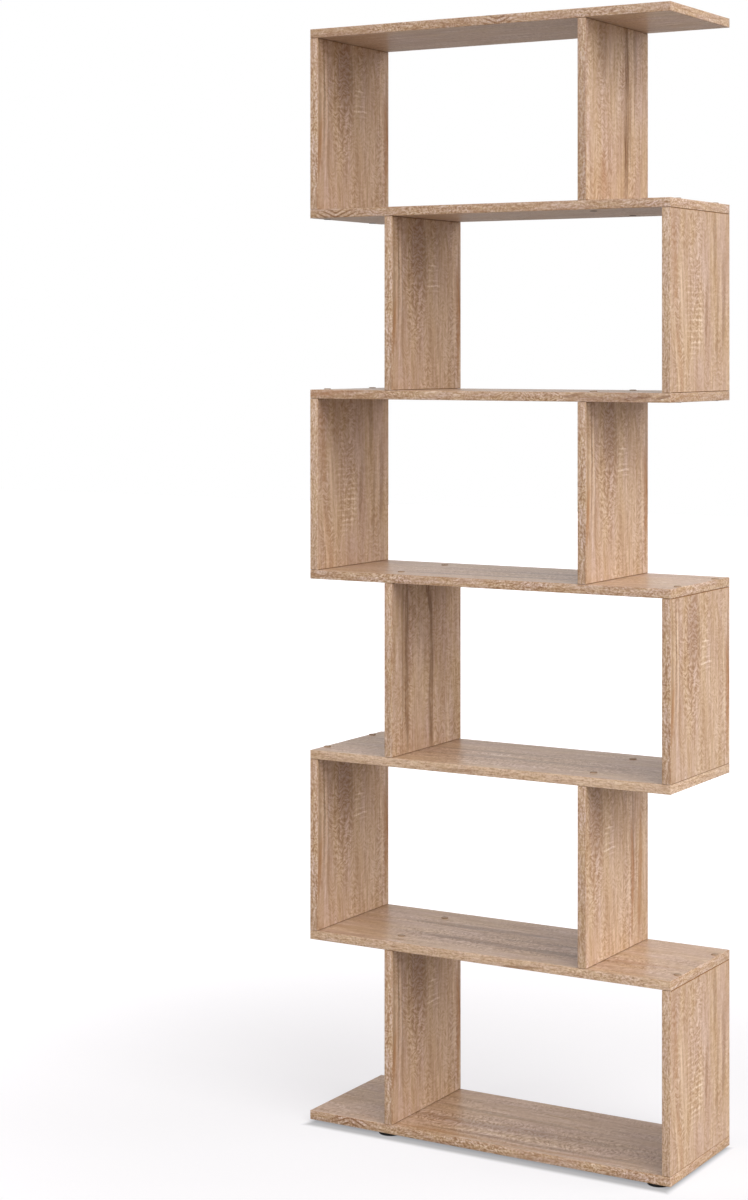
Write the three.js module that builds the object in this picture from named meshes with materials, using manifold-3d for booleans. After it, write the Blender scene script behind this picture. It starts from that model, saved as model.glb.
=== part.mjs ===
// Zigzag bookshelf: a free-standing open shelf of seven full-width boards and twelve upright
// panels. The two panels of each level stand one at an end and one set in from the other end,
// and the sides swap from level to level, so the outline steps to and fro.
//
// Units are millimetres and +Z is up. The origin is on the floor, at the middle of the width and
// depth. The front faces -Y, and left and right are as seen from the front.

import * as THREE from 'three';
import { mergeVertices } from 'three/addons/utils/BufferGeometryUtils.js';
import Module from 'manifold-3d';

const wasm = await Module();
wasm.setup();

// Whole shelf
const shelfWidth = 700;
const shelfDepth = 250;
const levelCount = 6;

// Boards lie flat across the whole width, and panels stand between them
const boardThickness = 16;
const panelThickness = 16;
const clearHeight = 306;
// From the end of a board to the outer face of a panel that is set in
const panelInset = 154;
// Left between the end of a panel and the board that it meets
const jointGap = 0.3;

// Connecting screws: two at each end of a panel, driven through the board
const screwLength = 50;
const screwEdgeDistance = 46;
const headDiameter = 10;
const headHeight = 1.6;
const headSink = 0.4;
const shoulderDiameter = 7;
const threadDiameter = 6.4;
const tipDiameter = 3.2;
const tipLength = 5;
const socketAcrossFlats = 4;
const socketDepth = 3.5;
const screwSides = 12;
const screwClearance = 0.3;
// Drilled deeper than the screw reaches
const pilotSpare = 3;

// Round glides under the base board, each with a spigot pushed into a blind hole
const footDiameter = 40;
const footHeight = 5;
const footEdgeChamfer = 1.5;
const footFrontSetback = 21;
// From the right end of the base board. The left pair stands under the panel that is set in.
const footRightInset = 30;
const footSides = 32;
const spigotDiameter = 8;
const spigotLength = 9;
const spigotClearance = 0.3;
const spigotHoleSpare = 2;

// Cutters run past the faces that they open by this much
const cutOverrun = 2;

// Places worked out from the sizes above
const leftEnd = -shelfWidth / 2;
const rightEnd = shelfWidth / 2;
const frontEdge = -shelfDepth / 2;
const levelPitch = clearHeight + boardThickness;
const baseUnderside = footHeight;
const panelLength = clearHeight - 2 * jointGap;
const shoulderEnd = boardThickness - headSink;
const screwReach = screwLength + headSink - boardThickness - jointGap;
const pilotDepth = screwReach + pilotSpare;
const hexCornerShare = 2 / Math.sqrt(3);

const oakFace = new THREE.MeshStandardMaterial({
  color: 0xb4957a, roughness: 0.62, metalness: 0, flatShading: true,
});
const steelZinc = new THREE.MeshStandardMaterial({
  color: 0xb9b7b0, roughness: 0.38, metalness: 1, flatShading: true,
});
const blackPlastic = new THREE.MeshStandardMaterial({
  color: 0x101010, roughness: 0.55, metalness: 0, flatShading: true,
});

// A closed mesh as a solid. Corners are merged, and triangles that lost a side are dropped.
function solidFrom(geometry) {
  const bare = geometry.clone();
  bare.deleteAttribute('normal');
  bare.deleteAttribute('uv');
  const merged = mergeVertices(bare);
  const corners = merged.index.array;
  const kept = [];
  for (let i = 0; i < corners.length; i += 3) {
    const [a, b, c] = corners.slice(i, i + 3);
    if (a !== b && b !== c && c !== a) {
      kept.push(a, b, c);
    }
  }
  const mesh = new wasm.Mesh({
    numProp: 3,
    vertProperties: new Float32Array(merged.attributes.position.array),
    triVerts: new Uint32Array(kept),
  });
  return new wasm.Manifold(mesh);
}

// A solid back as a mesh that can be shown
function geometryFrom(solid) {
  const mesh = solid.getMesh();
  const geometry = new THREE.BufferGeometry();
  geometry.setAttribute('position', new THREE.BufferAttribute(mesh.vertProperties, 3));
  geometry.setIndex(new THREE.BufferAttribute(mesh.triVerts, 1));
  geometry.computeVertexNormals();
  return geometry;
}

// A turned solid about +Z. The outline is a list of [radius, height], from its lowest point up.
function turned(outline, sides) {
  const points = outline.map(([radius, height]) => new THREE.Vector2(radius, height));
  const geometry = new THREE.LatheGeometry(points, sides);
  geometry.rotateX(Math.PI / 2);
  return solidFrom(geometry);
}

function cuboid(width, depth, height) {
  return solidFrom(new THREE.BoxGeometry(width, depth, height));
}

// A screw that hangs from the origin: its head's top is at z = 0 and it points down
function makeScrew() {
  const head = headDiameter / 2;
  const shoulder = shoulderDiameter / 2;
  const thread = threadDiameter / 2;
  const coneEnd = headHeight + head - shoulder;
  const body = turned([
    [0, -screwLength],
    [tipDiameter / 2, -screwLength],
    [thread, tipLength - screwLength],
    [thread, -shoulderEnd],
    [shoulder, -shoulderEnd],
    [shoulder, -coneEnd],
    [head, -headHeight],
    [head, 0],
    [0, 0],
  ], screwSides);
  const hexRadius = (socketAcrossFlats / 2) * hexCornerShare;
  const socketHeight = socketDepth + cutOverrun;
  const hexagon = new THREE.CylinderGeometry(hexRadius, hexRadius, socketHeight, 6);
  hexagon.rotateX(Math.PI / 2);
  hexagon.translate(0, 0, socketHeight / 2 - socketDepth);
  return body.subtract(solidFrom(hexagon));
}

// The stepped hole for a screw through a board whose near face is at z = 0
function makeBoardCutter() {
  const head = headDiameter / 2 + screwClearance;
  const shoulder = shoulderDiameter / 2 + screwClearance;
  const rim = headSink + headHeight;
  const coneEnd = rim + head - shoulder;
  return turned([
    [0, -boardThickness - cutOverrun],
    [shoulder, -boardThickness - cutOverrun],
    [shoulder, -coneEnd],
    [head, -rim],
    [head, cutOverrun],
    [0, cutOverrun],
  ], screwSides);
}

// The blind hole in the end of a panel whose end face is at z = 0
function makePilotCutter() {
  const pilot = threadDiameter / 2 + screwClearance;
  return turned([
    [0, -pilotDepth],
    [pilot, -pilotDepth],
    [pilot, cutOverrun],
    [0, cutOverrun],
  ], screwSides);
}

// The blind hole for a glide's spigot, in an underside at z = 0, going up
function makeSpigotCutter() {
  const hole = spigotDiameter / 2 + spigotClearance;
  return turned([
    [0, -cutOverrun],
    [hole, -cutOverrun],
    [hole, spigotLength + spigotHoleSpare],
    [0, spigotLength + spigotHoleSpare],
  ], screwSides);
}

// A glide that stands on z = 0
function makeFoot() {
  const radius = footDiameter / 2;
  const spigot = spigotDiameter / 2;
  const discTop = footHeight - jointGap;
  return turned([
    [0, 0],
    [radius - footEdgeChamfer, 0],
    [radius, footEdgeChamfer],
    [radius, discTop],
    [spigot, discTop],
    [spigot, footHeight + spigotLength],
    [0, footHeight + spigotLength],
  ], footSides);
}

// Turned over, to work from an underside or a lower end
function upended(solid) {
  return solid.rotate([180, 0, 0]);
}

const screw = makeScrew();
const boardCutter = makeBoardCutter();
const pilotCutter = makePilotCutter();
const spigotCutter = makeSpigotCutter();

const screwGeometry = geometryFrom(screw);
const upendedScrewGeometry = geometryFrom(upended(screw));
const footGeometry = geometryFrom(makeFoot());

// Where the middle of a panel stands on the width
const outerLeftX = leftEnd + panelThickness / 2;
const innerLeftX = leftEnd + panelInset + panelThickness / 2;
const innerRightX = rightEnd - panelInset - panelThickness / 2;
const outerRightX = rightEnd - panelThickness / 2;

const screwRows = [
  { name: 'front', y: frontEdge + screwEdgeDistance },
  { name: 'rear', y: -frontEdge - screwEdgeDistance },
];

// The panels of one level, counted from 1 at the floor
function panelsOf(level) {
  return level % 2 === 1
    ? [{ side: 'inner_left', x: innerLeftX }, { side: 'outer_right', x: outerRightX }]
    : [{ side: 'outer_left', x: outerLeftX }, { side: 'inner_right', x: innerRightX }];
}

// Heights of the faces of board number index, counted from 0 at the floor
function undersideOf(index) {
  return baseUnderside + index * levelPitch;
}

function topOf(index) {
  return undersideOf(index) + boardThickness;
}

function boardName(index) {
  if (index === 0) {
    return 'base_board';
  }
  return index === levelCount ? 'top_board' : `shelf_board_${index}`;
}

const shelf = new THREE.Group();

function addPiece(name, geometry, material, place) {
  const mesh = new THREE.Mesh(geometry, material);
  mesh.name = name;
  mesh.position.set(...place);
  shelf.add(mesh);
}

const feetColumns = [
  { name: 'left', x: leftEnd + panelInset },
  { name: 'right', x: rightEnd - footRightInset },
];
const feetRows = [
  { name: 'front', y: frontEdge + footFrontSetback },
  { name: 'rear', y: -frontEdge - footFrontSetback },
];
const feetPlaces = feetColumns.flatMap((column) => feetRows.map((row) => (
  { name: `foot_${column.name}_${row.name}`, x: column.x, y: row.y }
)));

// A board is drilled from above for the panels below it and from below for those above it
function makeBoard(index) {
  let board = cuboid(shelfWidth, shelfDepth, boardThickness);
  const top = boardThickness / 2;
  for (const row of screwRows) {
    if (index > 0) {
      for (const panel of panelsOf(index)) {
        board = board.subtract(boardCutter.translate([panel.x, row.y, top]));
      }
    }
    if (index < levelCount) {
      for (const panel of panelsOf(index + 1)) {
        board = board.subtract(upended(boardCutter).translate([panel.x, row.y, -top]));
      }
    }
  }
  if (index === 0) {
    for (const foot of feetPlaces) {
      board = board.subtract(spigotCutter.translate([foot.x, foot.y, -top]));
    }
  }
  return geometryFrom(board);
}

// A panel has two blind holes in each end
function makePanel() {
  let panel = cuboid(panelThickness, shelfDepth, panelLength);
  const end = panelLength / 2;
  for (const row of screwRows) {
    panel = panel.subtract(pilotCutter.translate([0, row.y, end]));
    panel = panel.subtract(upended(pilotCutter).translate([0, row.y, -end]));
  }
  return geometryFrom(panel);
}

for (const foot of feetPlaces) {
  addPiece(foot.name, footGeometry, blackPlastic, [foot.x, foot.y, 0]);
}

for (let index = 0; index <= levelCount; index += 1) {
  const middle = undersideOf(index) + boardThickness / 2;
  addPiece(boardName(index), makeBoard(index), oakFace, [0, 0, middle]);
}

const panelGeometry = makePanel();
for (let level = 1; level <= levelCount; level += 1) {
  const middle = topOf(level - 1) + clearHeight / 2;
  for (const panel of panelsOf(level)) {
    const panelName = `panel_${level}_${panel.side}`;
    addPiece(panelName, panelGeometry, oakFace, [panel.x, 0, middle]);
    for (const row of screwRows) {
      const headTop = topOf(level) - headSink;
      const place = [panel.x, row.y, headTop];
      addPiece(`screw_${level}_${panel.side}_top_${row.name}`, screwGeometry, steelZinc, place);
    }
    // Only the front one of the two lower screws is a piece here. The rear one is its twin,
    // and its holes are drilled all the same.
    const lowerRow = screwRows[0];
    const lowerHead = undersideOf(level - 1) + headSink;
    const lowerPlace = [panel.x, lowerRow.y, lowerHead];
    const lowerName = `screw_${level}_${panel.side}_bottom_${lowerRow.name}`;
    addPiece(lowerName, upendedScrewGeometry, steelZinc, lowerPlace);
  }
}

export default shelf;
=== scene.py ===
"""Looks of a zigzag bookshelf in light oak-print laminate, built round its fixed CAD frame.

Every board and panel is a chipboard core with laminate faces and glued edge bands. Connecting
screws hold them together, under domed caps on top sides and flat discs on undersides, and the
shelf stands on four round glides.
All lengths are metres in the frame's own axes: +Z up, the front facing -Y, the floor at z = 0.
"""

import logging
import math
from collections.abc import Callable
from dataclasses import dataclass, field, replace
from enum import Enum

import bmesh
import bpy
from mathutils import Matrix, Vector

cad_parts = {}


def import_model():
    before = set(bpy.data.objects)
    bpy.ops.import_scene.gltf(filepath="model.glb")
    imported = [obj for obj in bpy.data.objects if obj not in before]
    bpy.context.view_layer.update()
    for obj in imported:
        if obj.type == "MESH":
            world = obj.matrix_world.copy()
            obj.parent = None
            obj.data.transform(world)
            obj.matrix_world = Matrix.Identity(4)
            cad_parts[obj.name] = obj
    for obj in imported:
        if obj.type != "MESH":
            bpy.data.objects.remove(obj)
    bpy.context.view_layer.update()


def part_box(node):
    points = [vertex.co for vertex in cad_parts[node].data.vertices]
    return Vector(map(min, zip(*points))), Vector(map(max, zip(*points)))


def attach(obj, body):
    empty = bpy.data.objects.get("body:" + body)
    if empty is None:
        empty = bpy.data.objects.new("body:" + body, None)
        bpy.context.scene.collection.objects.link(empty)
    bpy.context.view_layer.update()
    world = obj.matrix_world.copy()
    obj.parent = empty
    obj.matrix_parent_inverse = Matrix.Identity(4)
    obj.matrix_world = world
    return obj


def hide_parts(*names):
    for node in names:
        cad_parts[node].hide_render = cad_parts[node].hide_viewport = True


LOG = logging.getLogger("zigzag_bookshelf")

MM = 0.001
# Places closer than this are the same
TINY = 0.01 * MM
BODY = "root"
PRINT_MAP = "print"
# The back of a piece is cut this much further on than its front, in metres
BACK_SHIFT = 0.43


class Axis(Enum):
    """An axis of the frame, by its place in a vector."""

    X = 0
    Y = 1
    Z = 2


class MaterialSlot(Enum):
    """The record's slots that the pieces take their finish from."""

    LAMINATE = "oak_laminate"
    EDGE_BAND = "oak_edge_band"
    GLIDE = "black_plastic"
    SCREW = "zinc_plated_steel"
    CAP = "cover_cap_plastic"


def linear(hex_colour: str) -> tuple[float, float, float, float]:
    """Turns an sRGB colour into the linear one that shaders take.

    Args:
        hex_colour: six hex digits after a hash sign.

    Returns:
        Red, green, blue and an alpha of one.
    """
    channels = [int(hex_colour[i : i + 2], 16) / 255 for i in (1, 3, 5)]
    low, gamma = 0.04045, 2.4
    red, green, blue = (
        c / 12.92 if c <= low else ((c + 0.055) / 1.055) ** gamma for c in channels
    )
    return red, green, blue, 1.0


def add_node(
    tree: bpy.types.NodeTree, kind: str, inputs: dict | None = None, **settings: object
) -> bpy.types.Node:
    """Adds a node with its settings and links.

    Args:
        tree: the node tree that gets the node.
        kind: the node's type name.
        inputs: values or output sockets, by the name or number of the input that takes them.
        settings: the node's own properties.

    Returns:
        The new node.
    """
    node = tree.nodes.new(kind)
    for name, value in settings.items():
        setattr(node, name, value)
    for key, value in (inputs or {}).items():
        if isinstance(value, bpy.types.NodeSocket):
            tree.links.new(value, node.inputs[key])
        else:
            node.inputs[key].default_value = value
    return node


def new_material(name: str) -> tuple[bpy.types.Material, bpy.types.NodeTree]:
    """Makes an empty node material.

    Args:
        name: the material's name.

    Returns:
        The material and its empty node tree.
    """
    material = bpy.data.materials.new(name)
    material.use_nodes = True
    material.node_tree.nodes.clear()
    return material, material.node_tree


# Modelling


def alone(piece: bpy.types.Object) -> None:
    """Leaves one object selected and active."""
    bpy.ops.object.select_all(action="DESELECT")
    piece.select_set(True)
    bpy.context.view_layer.objects.active = piece


def start_block(name: str, low: Vector, high: Vector) -> bpy.types.Object:
    """Adds a block between two corners.

    Args:
        name: the object's name.
        low: its lowest corner.
        high: its highest corner.

    Returns:
        The block, at the origin with its place in its mesh.
    """
    bpy.ops.object.select_all(action="DESELECT")
    bpy.ops.mesh.primitive_cube_add(size=1.0, location=(low + high) / 2, scale=high - low)
    block = bpy.context.active_object
    block.name = name
    block.data.name = name
    bpy.ops.object.transform_apply(location=True, rotation=True, scale=True)
    return block


def round_edges(
    piece: bpy.types.Object,
    wanted: Callable[[Vector, Vector], bool],
    radius: float,
    segments: int,
) -> None:
    """Rounds the edges of a piece that a rule picks.

    Args:
        piece: the object to shape.
        wanted: says of an edge's two ends whether the edge is rounded.
        radius: the radius of the rounding.
        segments: the number of flats across it.
    """
    alone(piece)
    bpy.ops.object.mode_set(mode="EDIT")
    bpy.ops.mesh.select_mode(type="EDGE")
    bpy.ops.mesh.select_all(action="DESELECT")
    mesh = bmesh.from_edit_mesh(piece.data)
    for edge in mesh.edges:
        edge.select_set(wanted(edge.verts[0].co, edge.verts[1].co))
    bmesh.update_edit_mesh(piece.data)
    bpy.ops.mesh.bevel(offset=radius, segments=segments, profile=0.5, affect="EDGES")
    bpy.ops.object.mode_set(mode="OBJECT")


def turn_piece(name: str, outline: list[tuple[float, float]], sides: int) -> bpy.types.Object:
    """Draws a round piece out of a disc on the Z axis, ring by ring.

    Args:
        name: the object's name.
        outline: radius and height of each ring, from one end to the other.
        sides: the number of corners in a ring.

    Returns:
        The closed piece, at the origin.
    """
    radius, height = outline[0]
    bpy.ops.object.select_all(action="DESELECT")
    bpy.ops.mesh.primitive_circle_add(
        vertices=sides, radius=radius, fill_type="NGON", location=(0, 0, height)
    )
    piece = bpy.context.active_object
    piece.name = name
    piece.data.name = name
    bpy.ops.object.transform_apply(location=True, rotation=True, scale=True)
    bpy.ops.object.mode_set(mode="EDIT")
    bpy.ops.mesh.select_all(action="SELECT")
    for next_radius, next_height in outline[1:]:
        bpy.ops.mesh.extrude_region_move(
            TRANSFORM_OT_translate={
                "value": (0, 0, next_height - height),
                "orient_type": "GLOBAL",
            }
        )
        grow = next_radius / radius
        bpy.ops.transform.resize(value=(grow, grow, 1.0), center_override=(0, 0, next_height))
        radius, height = next_radius, next_height
    bpy.ops.mesh.select_all(action="SELECT")
    bpy.ops.mesh.normals_make_consistent(inside=False)
    bpy.ops.object.mode_set(mode="OBJECT")
    return piece


def copy_to(
    pattern: bpy.types.Object, name: str, place: Vector, up: float = 1.0
) -> bpy.types.Object:
    """Copies a piece that was modelled at the origin, with a mesh of its own.

    Args:
        pattern: the piece to copy.
        name: the copy's name.
        place: where the pattern's origin goes.
        up: 1 to leave it upright, -1 to turn it over about the X axis.

    Returns:
        The copy, at the origin with its place in its mesh.
    """
    alone(pattern)
    bpy.ops.object.duplicate(linked=False)
    piece = bpy.context.active_object
    piece.name = name
    piece.data.name = name
    if up < 0:
        bpy.ops.transform.rotate(value=math.pi, orient_axis="X", center_override=(0, 0, 0))
    bpy.ops.transform.translate(value=place)
    bpy.ops.object.transform_apply(location=True, rotation=True, scale=True)
    return piece


def drill(piece: bpy.types.Object, cutters: list[bpy.types.Object]) -> None:
    """Cuts the cutters' shapes out of a piece and deletes the cutters.

    Args:
        piece: the object to drill.
        cutters: the shapes to take away.
    """
    for cutter in cutters:
        alone(piece)
        hole = piece.modifiers.new("hole", "BOOLEAN")
        hole.operation = "DIFFERENCE"
        hole.solver = "EXACT"
        hole.object = cutter
        bpy.ops.object.modifier_apply(modifier=hole.name)
        bpy.data.objects.remove(cutter)


def smooth(piece: bpy.types.Object, degrees: float = 30.0) -> None:
    """Shades a piece smooth but for its edges sharper than an angle."""
    alone(piece)
    bpy.ops.object.shade_smooth_by_angle(angle=math.radians(degrees))


def join(name: str, parts: list[bpy.types.Object]) -> bpy.types.Object:
    """Joins parts into one object.

    Args:
        name: the name of the joined object.
        parts: the objects to join, the first of which stays.

    Returns:
        The joined object.
    """
    alone(parts[0])
    for part in parts[1:]:
        part.select_set(True)
    bpy.ops.object.join()
    parts[0].name = name
    parts[0].data.name = name
    return parts[0]


def lay_print(
    piece: bpy.types.Object, grain: Axis, corner: Vector, across_start: float, along_start: float
) -> None:
    """Gives each face its place on the printed oak sheet, in metres, as a UV map.

    Args:
        piece: the object to cover.
        grain: the axis that the grain runs along.
        corner: the lowest corner of the board or panel that the piece belongs to.
        across_start: where on the print that corner lies, across the grain.
        along_start: the same, along the grain.
    """
    mesh = piece.data
    layer = mesh.uv_layers.new(name=PRINT_MAP)
    for polygon in mesh.polygons:
        facing = max(range(3), key=lambda i: abs(polygon.normal[i]))
        along = grain.value if facing != grain.value else (grain.value + 1) % 3
        across = 3 - facing - along
        # Tops, right faces and front edges show the cut itself, their backs another stretch
        outward = polygon.normal[facing] > 0
        is_front = outward != (facing == Axis.Y.value)
        side = 0.0 if is_front else BACK_SHIFT
        for loop in polygon.loop_indices:
            place = mesh.vertices[mesh.loops[loop].vertex_index].co - corner
            layer.data[loop].uv = (
                place[across] + across_start + side,
                place[along] + along_start + side,
            )


def dress(
    piece: bpy.types.Object, materials: list[bpy.types.Material], slot: MaterialSlot
) -> None:
    """Gives a piece its materials and its place in the record.

    Args:
        piece: the finished object.
        materials: its Blender materials, in order.
        slot: the record's slot that it takes its finish from.
    """
    for material in materials:
        piece.data.materials.append(material)
    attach(piece, BODY)
    LOG.info("%s: %d faces, %s", piece.name, len(piece.data.polygons), slot.value)


def give_faces(piece: bpy.types.Object, index: int, wanted: Callable[[Vector], bool]) -> None:
    """Gives another of its materials to some of a piece's faces.

    Args:
        piece: the dressed object.
        index: the place of the material among the piece's materials.
        wanted: says of a face's normal whether the face is one of them.
    """
    alone(piece)
    bpy.ops.object.mode_set(mode="EDIT")
    bpy.ops.mesh.select_mode(type="FACE")
    bpy.ops.mesh.select_all(action="DESELECT")
    mesh = bmesh.from_edit_mesh(piece.data)
    for face in mesh.faces:
        face.select_set(wanted(face.normal))
    bmesh.update_edit_mesh(piece.data)
    piece.active_material_index = index
    bpy.ops.object.material_slot_assign()
    bpy.ops.object.mode_set(mode="OBJECT")


# Finishes


class MarkKind(Enum):
    """What a mark on the oak print looks like."""

    VEIN = "a dark streak"
    PALE = "a pale streak"
    RUST = "an orange-brown streak"
    LADDER = "pale saw marks across the grain"
    MOTTLE = "dense short flecks"
    ARCH = "a cathedral point, which rises across the grain"
    DIP = "a cathedral point, which falls"


@dataclass(frozen=True)
class SheetMark:
    """One mark on the printed sheet.

    Attributes:
        kind: what it looks like.
        across: its middle on the sheet, across the grain.
        along: the same, along the grain.
        width: half its width.
        length: half its length.
        strength: how strongly it shows. 1 is full, and saw marks and flecks can go past it.
        lean: how far it drifts across for each metre along.
    """

    kind: MarkKind
    across: float
    along: float
    width: float
    length: float
    strength: float = 1.0
    lean: float = 0.0


@dataclass(frozen=True)
class Cut:
    """Where on the printed sheet the lowest corner of a board or panel lies, in metres."""

    across: float
    along: float = 0.0


# Panels are cut from four places of the sheet or beside them, and some share a cut
LADDER_CUT = Cut(0.0)
BRAIDED_CUT = Cut(1.0)
VEINED_CUT = Cut(2.0)
STRIPED_CUT = Cut(3.0)
# Each board has a cut of its own, a metre further across, and so has its edge band
BOARD_COUNT = 7
FIRST_BOARD = 5.0
FIRST_EDGE_BAND = 15.0
BOARD_CUTS = [Cut(FIRST_BOARD + number) for number in range(BOARD_COUNT)]
EDGE_CUTS = [Cut(FIRST_EDGE_BAND + number) for number in range(BOARD_COUNT)]
# The bands of a panel lie this much further across than its own cut
BAND_ROLL = 25.0
# The bands on a board's ends come off the same roll as those on its front and rear, further on
END_BAND_SHIFT = 1.0

PANEL_CUTS = {
    "panel_1_inner_left": BRAIDED_CUT,
    "panel_1_outer_right": LADDER_CUT,
    "panel_2_outer_left": BRAIDED_CUT,
    "panel_2_inner_right": Cut(BRAIDED_CUT.across + 55 * MM),
    "panel_3_inner_left": VEINED_CUT,
    "panel_3_outer_right": BRAIDED_CUT,
    "panel_4_outer_left": LADDER_CUT,
    "panel_4_inner_right": BRAIDED_CUT,
    "panel_5_inner_left": BRAIDED_CUT,
    "panel_5_outer_right": LADDER_CUT,
    "panel_6_outer_left": BRAIDED_CUT,
    "panel_6_inner_right": STRIPED_CUT,
}


def marks_on(cut: Cut, *rows: tuple) -> list[SheetMark]:
    """Places marks on the part of the sheet that a piece is cut from.

    Args:
        cut: where the piece is cut.
        rows: kind, then millimetres across and along from the cut's corner, half width, half
            length, and the strength and lean of each mark.

    Returns:
        The marks on the sheet.
    """
    return [
        SheetMark(kind, cut.across + a * MM, cut.along + b * MM, w * MM, h * MM, *rest)
        for kind, a, b, w, h, *rest in rows
    ]


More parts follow.
